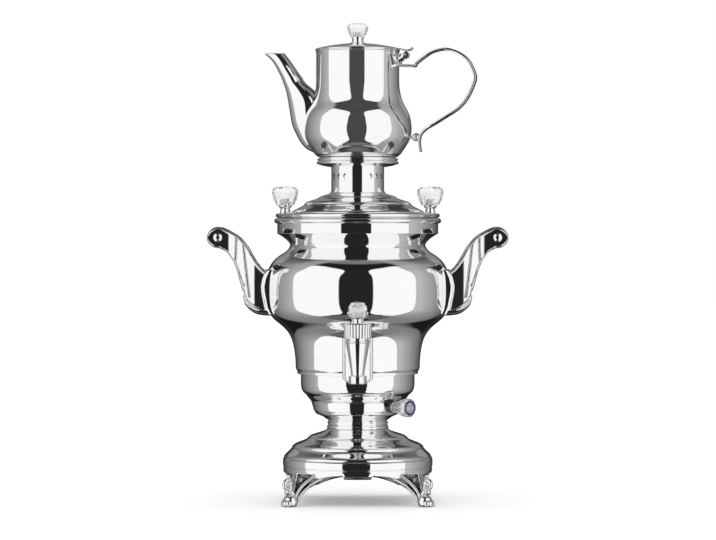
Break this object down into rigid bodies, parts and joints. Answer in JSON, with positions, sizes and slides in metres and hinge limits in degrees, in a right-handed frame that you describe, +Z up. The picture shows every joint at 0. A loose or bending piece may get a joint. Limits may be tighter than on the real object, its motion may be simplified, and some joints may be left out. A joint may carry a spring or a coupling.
{
  "type": "electric samovar",
  "caption": "Vase-shaped electric tea urn with a front tap, side handles, paw feet and a lidded teapot standing on its crown.",
  "frame": {"origin": "on the floor, under the middle of the whole object's box; the vessel's vertical axis stands 12.85 mm behind it", "axes": "+Z up along the vessel's axis, -Y to the front where the tap is, +X to the right as seen from the front"},
  "size_m": [0.3258, 0.2234, 0.5129],
  "materials": {
    "chrome": "mirror-polished, slightly darker in the recesses",
    "steel": "plain drawn steel",
    "crystal": "clear cut crystal-look acrylic",
    "dark_plastic": "glossy black moulding",
    "white_plastic": "glossy white moulding",
    "blue_ring": "tinted ring, dark blue-violet",
    "rubber": "matte",
    "brass": "turned, bare",
    "heater": "dull sheath"
  },
  "bodies": {
    "samovar": {"base_ring": "chrome", "base_plate": "steel", "base_dome": "chrome", "leg_front_right": "chrome", "leg_front_left": "chrome", "leg_rear_left": "chrome", "leg_rear_right": "chrome", "leg_screws": "steel", "tie_rod": "steel", "tie_nuts": "steel", "neck_ring": "chrome", "lower_bowl": "chrome", "power_inlet": "dark_plastic", "inlet_pins": "brass", "thermostat_housing": "steel", "thermostat_ring": "dark_plastic", "tank": "chrome", "tank_floor": "steel", "heating_element": "heater", "element_nuts": "brass", "thermal_cutout": "steel", "tap_body": "chrome", "tap_gasket": "rubber", "tap_nut": "brass", "handle_left": "chrome", "handle_right": "chrome", "grip_left": "dark_plastic", "grip_right": "dark_plastic", "grip_rod_left": "steel", "grip_rod_right": "steel"},
    "thermostat_dial": {"thermostat_shaft": "steel", "thermostat_knob": "white_plastic", "thermostat_band": "blue_ring"},
    "tap_key": {"tap_plug": "brass", "tap_cap": "chrome", "tap_knob": "crystal"},
    "lid": {"lid_shell": "chrome", "lid_ferrule_left": "chrome", "lid_ferrule_right": "chrome", "lid_knob_left": "crystal", "lid_knob_right": "crystal", "lid_screws": "steel", "stand_collar": "chrome", "stand_dish": "chrome"},
    "teapot": {"pot_body": "chrome", "pot_spout": "chrome", "pot_handle": "chrome", "handle_ball": "chrome", "hinge_bracket": "chrome", "hinge_pin": "steel"},
    "teapot_lid": {"hinge_leaf": "chrome", "pot_lid": "chrome", "pot_lid_ferrule": "chrome", "pot_lid_knob": "crystal", "pot_lid_screw": "steel"}
  },
  "joints": [
    {"name": "tap_turn", "type": "hinge", "parent": "samovar", "child": "tap_key", "pos_m": [0, -0.09645, 0.1786], "axis": [0, 0, 1], "range_deg": [0, 90]},
    {"name": "thermostat_turn", "type": "hinge", "parent": "samovar", "child": "thermostat_dial", "pos_m": [0.03536, -0.02251, 0.103], "axis": [-0.7071, 0.7071, 0], "range_deg": [0, 240]},
    {"name": "lid_lift", "type": "slide", "parent": "samovar", "child": "lid", "axis": [0, 0, 1], "range_m": [0, 0.12]},
    {"name": "teapot_lift", "type": "slide", "parent": "lid", "child": "teapot", "axis": [0, 0, 1], "range_m": [0, 0.15]},
    {"name": "teapot_lid_hinge", "type": "hinge", "parent": "teapot", "child": "teapot_lid", "pos_m": [0.05184, 0.00183, 0.479], "axis": [0.2079, 0.9781, 0], "range_deg": [0, 95]}
  ]
}
